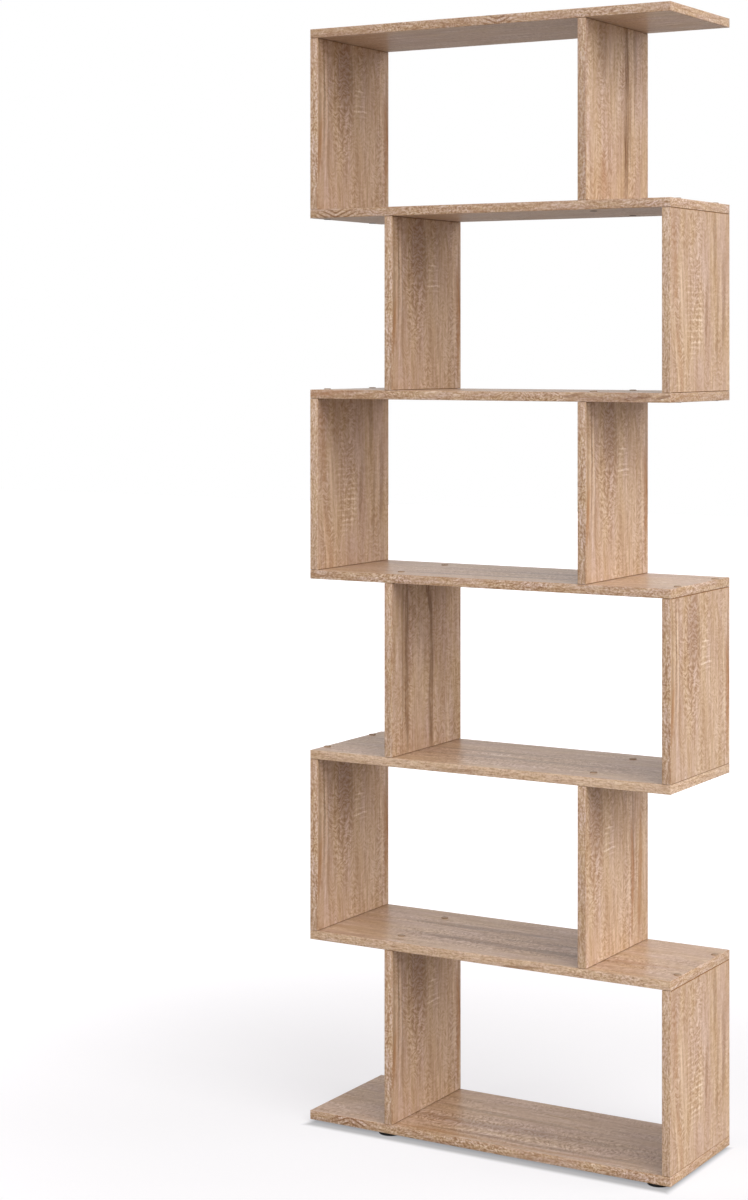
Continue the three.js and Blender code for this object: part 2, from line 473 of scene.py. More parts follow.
SHEET_MARKS = (
    marks_on(
        LADDER_CUT,
        (MarkKind.LADDER, 98, 140, 38, 92, 1.0),
        (MarkKind.PALE, 53, 150, 11, 100, 0.6, -0.06),
        (MarkKind.PALE, 26, 60, 6, 75, 1.0, -0.16),
        (MarkKind.RUST, 38, 40, 10, 70, 0.6, -0.2),
        (MarkKind.RUST, 16, 210, 12, 80, 0.45, -0.08),
        (MarkKind.VEIN, 150, 140, 6, 60, 0.4, 0.05),
        (MarkKind.VEIN, 184, 260, 5, 70, 0.5),
        (MarkKind.VEIN, 196, 100, 5, 80, 0.45),
        (MarkKind.VEIN, 222, 150, 7, 90, 0.5),
        (MarkKind.PALE, 207, 160, 6, 60, 0.6),
        (MarkKind.MOTTLE, 165, 130, 70, 170, 0.3),
    )
    + marks_on(
        BRAIDED_CUT,
        (MarkKind.VEIN, 5, 180, 3, 150, 0.6),
        (MarkKind.RUST, 8, 110, 5, 60, 1.0, 0.06),
        (MarkKind.PALE, 14, 200, 3, 120, 0.8),
        (MarkKind.VEIN, 22, 210, 3, 110, 0.75),
        (MarkKind.PALE, 30, 190, 4, 120, 1.0),
        (MarkKind.VEIN, 38, 160, 3, 110, 0.4),
        (MarkKind.MOTTLE, 85, 200, 42, 150, 1.0),
        (MarkKind.VEIN, 92, 260, 22, 80, 0.35),
        (MarkKind.VEIN, 115, 245, 5, 50, 0.5),
        (MarkKind.LADDER, 147, 184, 28, 13, 2.0),
        (MarkKind.LADDER, 145, 216, 22, 14, 1.4),
        (MarkKind.PALE, 175, 90, 35, 120, 0.35),
        (MarkKind.PALE, 222, 160, 5, 130, 0.7),
        (MarkKind.RUST, 236, 120, 6, 100, 1.0),
        (MarkKind.VEIN, 241, 190, 3, 90, 0.7),
        (MarkKind.RUST, 270, 120, 9, 120, 0.9, 0.03),
        (MarkKind.PALE, 290, 200, 6, 120, 0.7),
    )
    + marks_on(
        VEINED_CUT,
        (MarkKind.VEIN, 37, 190, 5, 150, 0.6),
        (MarkKind.VEIN, 52, 170, 8, 170, 0.95, 0.01),
        (MarkKind.VEIN, 130, 275, 9, 50, 1.0, -0.3),
        (MarkKind.VEIN, 141, 130, 8, 150, 0.9),
        (MarkKind.VEIN, 141, 215, 2, 70, 1.0, -0.05),
        (MarkKind.VEIN, 246, 150, 3, 140, 0.8),
        (MarkKind.PALE, 95, 120, 26, 110, 0.4),
        (MarkKind.LADDER, 215, 170, 18, 50, 0.4),
    )
    + marks_on(
        STRIPED_CUT,
        (MarkKind.VEIN, 161, 160, 9, 190, 1.0),
        (MarkKind.VEIN, 175, 130, 4, 80, 0.6),
        (MarkKind.VEIN, 196, 240, 8, 90, 0.4),
        (MarkKind.PALE, 187, 200, 4, 110, 0.7),
        (MarkKind.VEIN, 66, 270, 14, 70, 0.4),
        (MarkKind.RUST, 70, 45, 12, 45, 0.5),
        (MarkKind.MOTTLE, 90, 130, 60, 150, 0.3),
    )
    + marks_on(
        BOARD_CUTS[0],
        (MarkKind.RUST, 16, 380, 7, 260, 0.8),
        (MarkKind.VEIN, 34, 420, 6, 220, 0.8),
        (MarkKind.VEIN, 90, 380, 16, 230, 0.6, 0.02),
        (MarkKind.VEIN, 150, 330, 8, 150, 0.5, -0.03),
        (MarkKind.MOTTLE, 80, 400, 60, 330, 1.2),
    )
    + marks_on(
        BOARD_CUTS[1],
        (MarkKind.VEIN, 76, 370, 12, 230, 1.0, -0.03),
        (MarkKind.VEIN, 165, 260, 10, 150, 0.8),
        (MarkKind.VEIN, 120, 420, 5, 120, 0.6, 0.04),
        (MarkKind.MOTTLE, 90, 360, 60, 260, 1.2),
        (MarkKind.RUST, 85, 620, 9, 70, 0.5),
    )
    + marks_on(
        BOARD_CUTS[2],
        (MarkKind.VEIN, 97, 360, 12, 220, 0.55),
        (MarkKind.VEIN, 150, 300, 7, 180, 0.6, 0.03),
        (MarkKind.MOTTLE, 90, 360, 80, 300, 1.1),
    )
    + marks_on(
        BOARD_CUTS[3],
        (MarkKind.VEIN, 60, 330, 9, 240, 0.7, 0.02),
        (MarkKind.VEIN, 140, 420, 8, 200, 0.6),
        (MarkKind.MOTTLE, 110, 360, 90, 300, 1.0),
    )
    + marks_on(
        BOARD_CUTS[4],
        (MarkKind.VEIN, 80, 350, 9, 260, 0.6),
        (MarkKind.MOTTLE, 110, 360, 90, 300, 1.0),
    )
    + marks_on(
        EDGE_CUTS[0],
        (MarkKind.ARCH, 12, 84, 12, 42, 1.0),
        (MarkKind.RUST, 8, 1125, 40, 200, 0.18),
        (MarkKind.MOTTLE, 8, 330, 14, 90, 1.0),
        (MarkKind.MOTTLE, 8, 620, 14, 110, 1.0),
    )
    + marks_on(
        EDGE_CUTS[1],
        (MarkKind.PALE, 8, 350, 40, 420, 0.6),
        (MarkKind.MOTTLE, 8, 580, 14, 90, 1.0),
        (MarkKind.VEIN, 5, 420, 2.5, 40, 0.7, 0.08),
    )
    + marks_on(
        EDGE_CUTS[2],
        (MarkKind.PALE, 8, 350, 40, 420, 0.8),
        (MarkKind.PALE, 8, 1125, 40, 200, 0.5),
        (MarkKind.VEIN, 7, 300, 3, 50, 0.5, 0.06),
    )
    + marks_on(
        EDGE_CUTS[3],
        (MarkKind.MOTTLE, 8, 165, 14, 60, 1.0),
        (MarkKind.MOTTLE, 8, 420, 14, 80, 1.0),
    )
    + marks_on(
        EDGE_CUTS[4],
        (MarkKind.VEIN, 8, 595, 10, 75, 0.45),
        (MarkKind.VEIN, 8, 1125, 40, 200, 0.25),
        (MarkKind.VEIN, 5, 640, 4, 30, 1.0, 0.14),
        (MarkKind.VEIN, 9, 525, 3, 22, 0.8, 0.2),
        (MarkKind.VEIN, 7, 688, 3, 18, 1.0, 0.3),
        (MarkKind.RUST, 11, 30, 5, 60, 0.7, 0.06),
        (MarkKind.MOTTLE, 8, 460, 14, 60, 1.0),
    )
    + marks_on(
        EDGE_CUTS[5],
        (MarkKind.DIP, 4, 54, 12, 48, 1.0),
        (MarkKind.VEIN, 8, 350, 40, 420, 0.16),
        (MarkKind.MOTTLE, 8, 260, 14, 90, 1.0),
    )
    + marks_on(
        EDGE_CUTS[6],
        (MarkKind.DIP, 4, 378, 12, 36, 1.0),
        (MarkKind.VEIN, 8, 350, 40, 420, 0.18),
        (MarkKind.MOTTLE, 8, 180, 14, 70, 1.0),
        (MarkKind.MOTTLE, 8, 570, 14, 70, 1.0),
    )
    + marks_on(
        Cut(BAND_ROLL + LADDER_CUT.across),
        (MarkKind.PALE, 8, 150, 40, 260, 0.35),
    )
    + marks_on(
        Cut(BAND_ROLL + STRIPED_CUT.across),
        (MarkKind.VEIN, 8, 150, 40, 260, 0.25),
    )
)


@dataclass(frozen=True)
class GrainLayer:
    """One layer of the print: noise whose spots have a real width and length.

    Attributes:
        width: a spot's width across the grain.
        length: its length along the grain.
        detail: how many finer layers of noise lie in it.
        shift: moves it to another stretch of noise.
        low: the noise, from 0 to 1, at which the layer is absent.
        high: the noise at which it is full.
        depth: how much darker or paler it makes the print.
    """

    width: float
    length: float
    detail: float = 1.0
    shift: float = 0.0
    low: float = 0.0
    high: float = 1.0
    depth: float = 0.0


class PrintNodes:
    """Groups of nodes that draw the print, at a place in metres on the sheet."""

    # How strongly red, green and blue follow the ink: blue fades the most where it is dense
    INK_SHARES = (0.76, 1.1, 1.56)
    # How much a finer layer of noise counts beside the coarser one before it
    FINE_SHARE = 0.6
    # Where a mark ends and where it is at its full strength, as shares of its half sizes
    MARK_FADE = (1.25, 0.6)

    def __init__(self, tree: bpy.types.NodeTree) -> None:
        """Keeps the material's nodes."""
        self.tree = tree

    def add(self, kind: str, inputs: dict, **settings: object) -> bpy.types.NodeSocket:
        """Adds a node of any kind and returns its first output."""
        return add_node(self.tree, kind, inputs, **settings).outputs[0]

    def product(self, *factors: object) -> bpy.types.NodeSocket:
        """Multiplies several factors."""
        result = factors[0]
        for factor in factors[1:]:
            result = self.add("ShaderNodeMath", {0: result, 1: factor}, operation="MULTIPLY")
        return result

    def total(self, *parts: object) -> bpy.types.NodeSocket:
        """Adds up several parts."""
        result = parts[0]
        for part in parts[1:]:
            result = self.add("ShaderNodeMath", {0: result, 1: part}, operation="ADD")
        return result

    def noise(self, place: bpy.types.NodeSocket, layer: GrainLayer) -> bpy.types.NodeSocket:
        """Draws the noise of a layer.

        Args:
            place: the place on the sheet.
            layer: the layer.

        Returns:
            The noise's value, from 0 to 1.
        """
        scaled = self.add(
            "ShaderNodeMapping",
            {
                "Vector": place,
                "Location": (layer.shift, layer.shift, 0.0),
                "Scale": (1 / layer.width, 1 / layer.length, 1.0),
            },
        )
        return self.add(
            "ShaderNodeTexNoise",
            {
                "Vector": scaled,
                "Scale": 1.0,
                "Detail": layer.detail,
                "Roughness": self.FINE_SHARE,
            },
            noise_dimensions="2D",
        )

    def layer(
        self,
        place: bpy.types.NodeSocket,
        layer: GrainLayer,
        absent: float = 0.0,
        full: float = 1.0,
    ) -> bpy.types.NodeSocket:
        """Draws a layer as a value.

        Args:
            place: the place on the sheet.
            layer: the layer.
            absent: the value where the layer is absent.
            full: the value where it is full.

        Returns:
            The value, which never runs past these two.
        """
        return self.add(
            "ShaderNodeMapRange",
            {
                "Value": self.noise(place, layer),
                "From Min": layer.low,
                "From Max": layer.high,
                "To Min": absent,
                "To Max": full,
            },
        )

    def sway(
        self, place: bpy.types.NodeSocket, layer: GrainLayer, reach: float
    ) -> bpy.types.NodeSocket:
        """Draws a distance that sways to and fro with a layer's noise.

        Args:
            place: the place on the sheet.
            layer: the layer.
            reach: the distance from its one end to the other.

        Returns:
            The distance, which is 0 in its middle.
        """
        middle = 0.5
        centred = self.add(
            "ShaderNodeMath", {0: self.noise(place, layer), 1: middle}, operation="SUBTRACT"
        )
        return self.product(centred, reach)

    def ripple(self, distance: bpy.types.NodeSocket, pitch: float) -> bpy.types.NodeSocket:
        """Draws a wave between -1 and 1 that comes again at every pitch of a distance."""
        angle = self.product(distance, 2 * math.pi / pitch)
        return self.add("ShaderNodeMath", {0: angle}, operation="SINE")

    def pushed(
        self,
        place: bpy.types.NodeSocket,
        across: bpy.types.NodeSocket | float = 0.0,
        along: bpy.types.NodeSocket | float = 0.0,
    ) -> bpy.types.NodeSocket:
        """Moves a place on the sheet by a distance across and along the grain."""
        push = self.add("ShaderNodeCombineXYZ", {"X": across, "Y": along})
        return self.add("ShaderNodeVectorMath", {0: place, 1: push}, operation="ADD")

    def toned(
        self, colour: bpy.types.NodeSocket, *factors: bpy.types.NodeSocket
    ) -> bpy.types.NodeSocket:
        """Makes a colour paler or darker, and richer where it is darker, as ink does.

        Args:
            colour: the colour to change.
            factors: how bright it becomes by each of them, 1 leaving it as it is.

        Returns:
            The changed colour.
        """
        factor = self.product(*factors)
        channels = [
            self.add("ShaderNodeMath", {0: factor, 1: share}, operation="POWER")
            for share in self.INK_SHARES
        ]
        tint = self.add("ShaderNodeCombineXYZ", dict(enumerate(channels)))
        return self.add("ShaderNodeVectorMath", {0: colour, 1: tint}, operation="MULTIPLY")

    def patch(self, place: bpy.types.NodeSocket, mark: SheetMark) -> bpy.types.NodeSocket:
        """Fades a mark in towards its middle.

        Args:
            place: the place on the sheet.
            mark: the mark.

        Returns:
            Its strength in the middle, falling to 0 at its rim.
        """
        middle = (mark.across, mark.along, 0.0)
        centred = self.add("ShaderNodeVectorMath", {0: place, 1: middle}, operation="SUBTRACT")
        if mark.lean:
            parts = add_node(self.tree, "ShaderNodeSeparateXYZ", {0: centred}).outputs
            centred = self.pushed(centred, self.product(parts["Y"], -mark.lean))
        shrink = (1 / mark.width, 1 / mark.length, 0.0)
        scaled = self.add(
            "ShaderNodeVectorMath", {0: centred, 1: shrink}, operation="MULTIPLY"
        )
        reach = add_node(
            self.tree, "ShaderNodeVectorMath", {0: scaled}, operation="LENGTH"
        ).outputs["Value"]
        rim, core = self.MARK_FADE
        return self.add(
            "ShaderNodeMapRange",
            {
                "Value": reach,
                "From Min": rim,
                "From Max": core,
                "To Min": 0.0,
                "To Max": mark.strength,
            },
            interpolation_type="SMOOTHSTEP",
        )

    def patches(self, place: bpy.types.NodeSocket, kind: MarkKind) -> bpy.types.NodeSocket:
        """Shows the marks of one kind together, the strongest at each place."""
        strongest = 0.0
        for mark in SHEET_MARKS:
            if mark.kind is kind:
                strongest = self.add(
                    "ShaderNodeMath",
                    {0: strongest, 1: self.patch(place, mark)},
                    operation="MAXIMUM",
                )
        return strongest


def cover(tree: bpy.types.NodeTree, inputs: dict) -> None:
    """Ends a material in a surface shader that takes the given values and links."""
    shader = add_node(tree, "ShaderNodeBsdfPrincipled", inputs).outputs[0]
    add_node(tree, "ShaderNodeOutputMaterial", {"Surface": shader})


def embossed(
    tree: bpy.types.NodeTree, height: bpy.types.NodeSocket, depth: float
) -> bpy.types.NodeSocket:
    """Raises a surface by a pattern from 0 to 1 and returns its normal, its depth in metres."""
    inputs = {"Strength": 1.0, "Distance": depth, "Height": height}
    return add_node(tree, "ShaderNodeBump", inputs).outputs[0]


def spotted(
    tree: bpy.types.NodeTree,
    size: float,
    detail: float,
    low: tuple[float, float, float, float],
    high: tuple[float, float, float, float],
) -> tuple[bpy.types.NodeSocket, bpy.types.NodeSocket]:
    """Draws cloudy spots of two colours through a piece.

    Args:
        tree: the material's node tree.
        size: the real size of a spot.
        detail: how many finer layers of spots lie in it.
        low: the linear colour between the spots.
        high: the linear colour in their middles.

    Returns:
        The spots as a value from 0 to 1, and their colour.
    """
    place = add_node(tree, "ShaderNodeTexCoord").outputs["Object"]
    spots = add_node(
        tree, "ShaderNodeTexNoise", {"Vector": place, "Scale": 1 / size, "Detail": detail}
    ).outputs["Fac"]
    colour = add_node(
        tree, "ShaderNodeMix", {0: spots, 6: low, 7: high}, data_type="RGBA"
    ).outputs[2]
    return spots, colour


@dataclass(frozen=True)
class OakPrint:
    """Sawn-oak decor: a melamine paper printed with greyed oak, pressed with a fine grain.

    To the eye it is a satin, pinkish tan. Soft bands a few centimetres wide run along the grain,
    with darker veins, and short tilted flecks and pale saw marks lie across it.
    """

    name: str = "sawn_oak_melamine"
    tan: str = "#c4a789"
    pink: str = "#c1a490"
    hue: GrainLayer = GrainLayer(34 * MM, 170 * MM, 2.0, shift=3.1, low=0.32, high=0.68)
    # The grain wanders in long bends, with a short waver on top
    bend: GrainLayer = GrainLayer(60 * MM, 260 * MM)
    bend_reach: float = 15 * MM
    waver: GrainLayer = GrainLayer(14 * MM, 24 * MM, 2.0)
    waver_reach: float = 4 * MM
    # Broad bands, strands in them and fine streaks run along the grain
    bands: GrainLayer = GrainLayer(
        26 * MM, 300 * MM, 3.0, shift=7.7, low=0.28, high=0.72, depth=0.11
    )
    strands: GrainLayer = GrainLayer(
        9.5 * MM, 120 * MM, 2.0, shift=2.9, low=0.3, high=0.7, depth=0.11
    )
    streaks: GrainLayer = GrainLayer(
        3.0 * MM, 75 * MM, 3.0, shift=1.3, low=0.3, high=0.7, depth=0.15
    )
    # Flecks are dashes across the grain, thin between the dense mottles but never gone
    flecks: GrainLayer = GrainLayer(15 * MM, 5.0 * MM, 2.0, low=0.33, high=0.67, depth=0.34)
    fleck_tilt: GrainLayer = GrainLayer(24 * MM, 55 * MM, shift=5.5)
    fleck_tilt_reach: float = 32 * MM
    fleck_places: GrainLayer = GrainLayer(50 * MM, 190 * MM, shift=9.2, low=0.4, high=0.7)
    fleck_least: float = 0.28
    fleck_most: float = 0.8
    spots: GrainLayer = GrainLayer(2.6 * MM, 5 * MM, shift=8.8, low=0.56, high=0.68, depth=0.16)
    pores: GrainLayer = GrainLayer(0.9 * MM, 15 * MM, low=0.55, high=0.72, depth=0.22)
    # Stripes are ragged: where the streaks are low they cover less of what is under them
    pale: str = "#e4ccb2"
    pale_cover: float = 0.75
    vein: str = "#7b522b"
    vein_cover: float = 0.95
    rust: str = "#a46f38"
    rust_cover: float = 0.8
    ragged_low: float = 0.38
    ragged_high: float = 0.6
    ragged_least: float = 0.3
    # Saw marks are broken lines at the pitch of the saw's teeth
    saw_pitch: float = 9.3 * MM
    saw_depth: float = 0.25
    saw_waver: GrainLayer = GrainLayer(30 * MM, 16 * MM, shift=2.2)
    saw_waver_reach: float = 5 * MM
    saw_breaks: GrainLayer = GrainLayer(22 * MM, 4 * MM, shift=4.4, low=0.34, high=0.56)
    saw_wave: tuple[float, float] = (-0.2, 1.0)
    saw_line: tuple[float, float] = (-0.3, 1.0)
    # Cathedral points are nested lines that meet at a slope, pale and dark by turns
    arch_slope: float = 0.42
    arch_spacing: float = 8 * MM
    arch_waver: GrainLayer = GrainLayer(9 * MM, 14 * MM, 2.0, shift=6.6)
    arch_waver_reach: float = 3 * MM
    arch_wave: tuple[float, float] = (-0.2, 0.8)
    arch_tone: tuple[float, float] = (1.16, 0.5)
    emboss_depth: float = 0.05 * MM
    roughness_low_streak: float = 0.40
    roughness_high_streak: float = 0.29
    ior: float = 1.5

    def material(self) -> bpy.types.Material:
        """Builds the print's node material."""
        material, tree = new_material(self.name)
        nodes = PrintNodes(tree)
        sheet = nodes.add("ShaderNodeUVMap", {}, uv_map=PRINT_MAP)
        bend = nodes.sway(sheet, self.bend, self.bend_reach)
        waver = nodes.sway(sheet, self.waver, self.waver_reach)
        grain = nodes.pushed(sheet, nodes.total(bend, waver))
        streaks = nodes.noise(grain, self.streaks)
        pores = nodes.layer(grain, self.pores)
        fleck_share = self.fleck_share(nodes, sheet, grain)

        colour = add_node(
            tree,
            "ShaderNodeMix",
            {0: nodes.layer(grain, self.hue), 6: linear(self.tan), 7: linear(self.pink)},
            data_type="RGBA",
        ).outputs[2]
        tones = [
            nodes.layer(grain, layer, 1 - layer.depth, 1 + layer.depth)
            for layer in (self.bands, self.strands)
        ]
        tones.append(
            nodes.add(
                "ShaderNodeMapRange",
                {
                    "Value": streaks,
                    "From Min": self.streaks.low,
                    "From Max": self.streaks.high,
                    "To Min": 1 - self.streaks.depth,
                    "To Max": 1 + self.streaks.depth,
                },
            )
        )
        tones.append(self.fleck_tone(nodes, sheet, fleck_share))
        colour = nodes.toned(colour, *tones)
        colour = self.stripes(nodes, grain, streaks, colour)
        colour = self.points(nodes, sheet, colour)
        pore_tone = nodes.add(
            "ShaderNodeMapRange", {"Value": pores, "To Min": 1.0, "To Max": 1 - self.pores.depth}
        )
        saw_tone = self.saw_tone(nodes, sheet)
        spot_tone = self.spot_tone(nodes, grain, fleck_share)
        colour = nodes.toned(colour, saw_tone, spot_tone, pore_tone)

        height = nodes.add("ShaderNodeMath", {0: streaks, 1: pores}, operation="SUBTRACT")
        gloss = nodes.add(
            "ShaderNodeMapRange",
            {
                "Value": streaks,
                "From Min": self.streaks.low,
                "From Max": self.streaks.high,
                "To Min": self.roughness_low_streak,
                "To Max": self.roughness_high_streak,
            },
        )
        normal = embossed(tree, height, self.emboss_depth)
        cover(
            tree,
            {"Base Color": colour, "Roughness": gloss, "IOR": self.ior, "Normal": normal},
        )
        return material

    def fleck_share(
        self, nodes: PrintNodes, sheet: bpy.types.NodeSocket, grain: bpy.types.NodeSocket
    ) -> bpy.types.NodeSocket:
        """Sets how strongly flecks show: loosely here and there, and fully in the mottles.

        Args:
            nodes: the print's nodes.
            sheet: the place on the sheet.
            grain: the same, wandering with the grain.

        Returns:
            The flecks' strength.
        """
        loose = nodes.layer(grain, self.fleck_places, self.fleck_least, self.fleck_most)
        dense = nodes.patches(sheet, MarkKind.MOTTLE)
        return nodes.add("ShaderNodeMath", {0: loose, 1: dense}, operation="MAXIMUM")

    def fleck_tone(
        self, nodes: PrintNodes, sheet: bpy.types.NodeSocket, share: bpy.types.NodeSocket
    ) -> bpy.types.NodeSocket:
        """Draws dark and pale dashes across the grain, tilted up and down.

        Args:
            nodes: the print's nodes.
            sheet: the place on the sheet.
            share: how strongly they show.

        Returns:
            How bright the print becomes by them.
        """
        tilt = nodes.sway(sheet, self.fleck_tilt, self.fleck_tilt_reach)
        dashes = nodes.layer(nodes.pushed(sheet, along=tilt), self.flecks, -1.0, 1.0)
        return nodes.total(nodes.product(dashes, share, self.flecks.depth), 1.0)

    def spot_tone(
        self, nodes: PrintNodes, grain: bpy.types.NodeSocket, share: bpy.types.NodeSocket
    ) -> bpy.types.NodeSocket:
        """Draws small dark spots where there are flecks.

        Args:
            nodes: the print's nodes.
            grain: the place on the sheet, wandering with the grain.
            share: how strongly the flecks show.

        Returns:
            How bright the print becomes by them.
        """
        most = nodes.add("ShaderNodeMath", {0: share, 1: 1.0}, operation="MINIMUM")
        spots = nodes.product(nodes.layer(grain, self.spots), most)
        return nodes.add(
            "ShaderNodeMapRange", {"Value": spots, "To Min": 1.0, "To Max": 1 - self.spots.depth}
        )

    def saw_tone(
        self, nodes: PrintNodes, sheet: bpy.types.NodeSocket
    ) -> bpy.types.NodeSocket:
        """Draws pale lines across the grain at the pitch of the saw's teeth.

        Args:
            nodes: the print's nodes.
            sheet: the place on the sheet.

        Returns:
            How bright the print becomes by them.
        """
        waver = nodes.product(nodes.noise(sheet, self.saw_waver), self.saw_waver_reach)
        wavering = nodes.pushed(sheet, along=waver)
        along = add_node(nodes.tree, "ShaderNodeSeparateXYZ", {0: wavering}).outputs["Y"]
        line = nodes.add(
            "ShaderNodeMapRange",
            {
                "Value": nodes.ripple(along, self.saw_pitch),
                "From Min": self.saw_wave[0],
                "From Max": self.saw_wave[1],
                "To Min": self.saw_line[0],
                "To Max": self.saw_line[1],
            },
        )
        broken = nodes.layer(sheet, self.saw_breaks)
        share = nodes.product(nodes.patches(sheet, MarkKind.LADDER), broken)
        return nodes.total(nodes.product(line, share, self.saw_depth), 1.0)

    def stripes(
        self,
        nodes: PrintNodes,
        grain: bpy.types.NodeSocket,
        streaks: bpy.types.NodeSocket,
        colour: bpy.types.NodeSocket,
    ) -> bpy.types.NodeSocket:
        """Draws the pale, dark and rust stripes over a colour.

        Args:
            nodes: the print's nodes.
            grain: the place on the sheet, wandering with the grain.
            streaks: the noise of the fine streaks, which tears the stripes' outlines.
            colour: the print so far.

        Returns:
            The print with its stripes.
        """
        for kind, tint, most in (
            (MarkKind.PALE, self.pale, self.pale_cover),
            (MarkKind.VEIN, self.vein, self.vein_cover),
            (MarkKind.RUST, self.rust, self.rust_cover),
        ):
            ragged = nodes.add(
                "ShaderNodeMapRange",
                {
                    "Value": streaks,
                    "From Min": self.ragged_low,
                    "From Max": self.ragged_high,
                    "To Min": self.ragged_least * most,
                    "To Max": most,
                },
            )
            share = nodes.product(nodes.patches(grain, kind), ragged)
            colour = add_node(
                nodes.tree,
                "ShaderNodeMix",
                {0: share, 6: colour, 7: linear(tint)},
                data_type="RGBA",
            ).outputs[2]
        return colour

    def points(
        self, nodes: PrintNodes, sheet: bpy.types.NodeSocket, colour: bpy.types.NodeSocket
    ) -> bpy.types.NodeSocket:
        """Draws nested cathedral points over a colour.

        Args:
            nodes: the print's nodes.
            sheet: the place on the sheet.
            colour: the print so far.

        Returns:
            The print with its points.
        """
        parts = add_node(nodes.tree, "ShaderNodeSeparateXYZ", {0: sheet}).outputs
        waver = nodes.product(nodes.noise(sheet, self.arch_waver), self.arch_waver_reach)
        slopes = {MarkKind.ARCH: self.arch_slope, MarkKind.DIP: -self.arch_slope}
        for mark in SHEET_MARKS:
            if mark.kind not in slopes:
                continue
            off = nodes.add(
                "ShaderNodeMath", {0: parts["Y"], 1: mark.along}, operation="SUBTRACT"
            )
            away = nodes.add("ShaderNodeMath", {0: off}, operation="ABSOLUTE")
            rise = nodes.total(parts["X"], nodes.product(away, slopes[mark.kind]), waver)
            tone = nodes.add(
                "ShaderNodeMapRange",
                {
                    "Value": nodes.ripple(rise, self.arch_spacing),
                    "From Min": self.arch_wave[0],
                    "From Max": self.arch_wave[1],
                    "To Min": self.arch_tone[0],
                    "To Max": self.arch_tone[1],
                },
            )
            colour = add_node(
                nodes.tree,
                "ShaderNodeMix",
                {0: nodes.patch(sheet, mark), 6: colour, 7: nodes.toned(colour, tone)},
                data_type="RGBA",
            ).outputs[2]
        return colour


@dataclass(frozen=True)
class EdgeBandPrint(OakPrint):
    """Edge band with the same oak decor, printed smaller and pressed with the same fine grain.

    To the eye it is the same tan, but busier: its bands, streaks and flecks are millimetres wide.
    """

    name: str = "oak_print_edge_band"
    hue: GrainLayer = replace(OakPrint.hue, width=12 * MM, length=60 * MM)
    bands: GrainLayer = replace(OakPrint.bands, width=9 * MM, length=150 * MM, depth=0.13)
    strands: GrainLayer = replace(OakPrint.strands, width=4 * MM, length=32 * MM, depth=0.2)
    streaks: GrainLayer = replace(OakPrint.streaks, width=2 * MM, length=14 * MM, depth=0.2)
    flecks: GrainLayer = replace(OakPrint.flecks, width=3.8 * MM, length=4.6 * MM, depth=0.44)
    fleck_least: float = 0.5


@dataclass(frozen=True)
class RawChipboard:
    """Sawn chipboard with nothing glued on: rough and brown, with lighter and darker chips."""

    name: str = "raw_sawn_chipboard"
    dark: str = "#6f4b2a"
    light: str = "#a67c50"
    chip_size: float = 1.5 * MM
    chip_detail: float = 2.0
    roughness: float = 0.95

    def material(self) -> bpy.types.Material:
        """Builds the chipboard's node material."""
        material, tree = new_material(self.name)
        _, colour = spotted(
            tree, self.chip_size, self.chip_detail, linear(self.dark), linear(self.light)
        )
        cover(tree, {"Base Color": colour, "Roughness": self.roughness})
        return material


@dataclass(frozen=True)
class PlainPlastic:
    """Fine-textured moulded or rolled plastic, its raised grains painted paler as a highlight."""

    name: str
    colour: str
    roughness: float
    texture_size: float = 0.6 * MM
    texture_detail: float = 2.0
    texture_depth: float = 0.02 * MM
    # How much paler the painted highlight on the raised grains is
    grain_highlight_gain: float = 1.25
    ior: float = 1.49

    def material(self) -> bpy.types.Material:
        """Builds the plastic's node material."""
        material, tree = new_material(self.name)
        *base, alpha = linear(self.colour)
        # Painted highlight: the raised grains are coloured a little paler than the plastic
        paler = (*(min(1.0, self.grain_highlight_gain * channel) for channel in base), alpha)
        grains, colour = spotted(
            tree, self.texture_size, self.texture_detail, linear(self.colour), paler
        )
        normal = embossed(tree, grains, self.texture_depth)
        cover(
            tree,
            {
                "Base Color": colour,
                "Roughness": self.roughness,
                "IOR": self.ior,
                "Normal": normal,
            },
        )
        return material


@dataclass(frozen=True)
class ZincPlate:
    """Bright zinc plate on a cold-headed steel screw: a pale silver with faint cloudy stains."""

    name: str = "zinc_plated_screw_steel"
    bright: str = "#c9c8c2"
    dull: str = "#a19f98"
    cloud_size: float = 3 * MM
    cloud_detail: float = 3.0
    roughness_bright: float = 0.26
    roughness_dull: float = 0.46

    def material(self) -> bpy.types.Material:
        """Builds the plate's node material."""
        material, tree = new_material(self.name)
        clouds, colour = spotted(
            tree, self.cloud_size, self.cloud_detail, linear(self.bright), linear(self.dull)
        )
        gloss = add_node(
            tree,
            "ShaderNodeMapRange",
            {"Value": clouds, "To Min": self.roughness_bright, "To Max": self.roughness_dull},
        ).outputs[0]
        cover(tree, {"Base Color": colour, "Metallic": 1.0, "Roughness": gloss})
        return material


@dataclass
class Finishes:
    """The materials that the pieces share, each built once."""

    laminate: bpy.types.Material = field(default_factory=lambda: OakPrint().material())
    edge_band: bpy.types.Material = field(default_factory=lambda: EdgeBandPrint().material())
    chipboard: bpy.types.Material = field(default_factory=lambda: RawChipboard().material())
    # Moulded polyethylene: a waxy black with a soft gloss
    glide: bpy.types.Material = field(
        default_factory=lambda: PlainPlastic("black_polyethylene", "#0b0b0b", 0.5).material()
    )
    # Moulded plastic a shade darker than the oak, so that a cap shows as a small button
    cap: bpy.types.Material = field(
        default_factory=lambda: PlainPlastic("tan_cap_plastic", "#947d67", 0.5).material()
    )
    # Self-adhesive plastic film: nearly matt and so dark that a disc shows as a spot
    disc: bpy.types.Material = field(
        default_factory=lambda: PlainPlastic("dark_brown_disc_film", "#2e1e17", 0.7).material()
    )
    screw: bpy.types.Material = field(default_factory=lambda: ZincPlate().material())


# Pieces


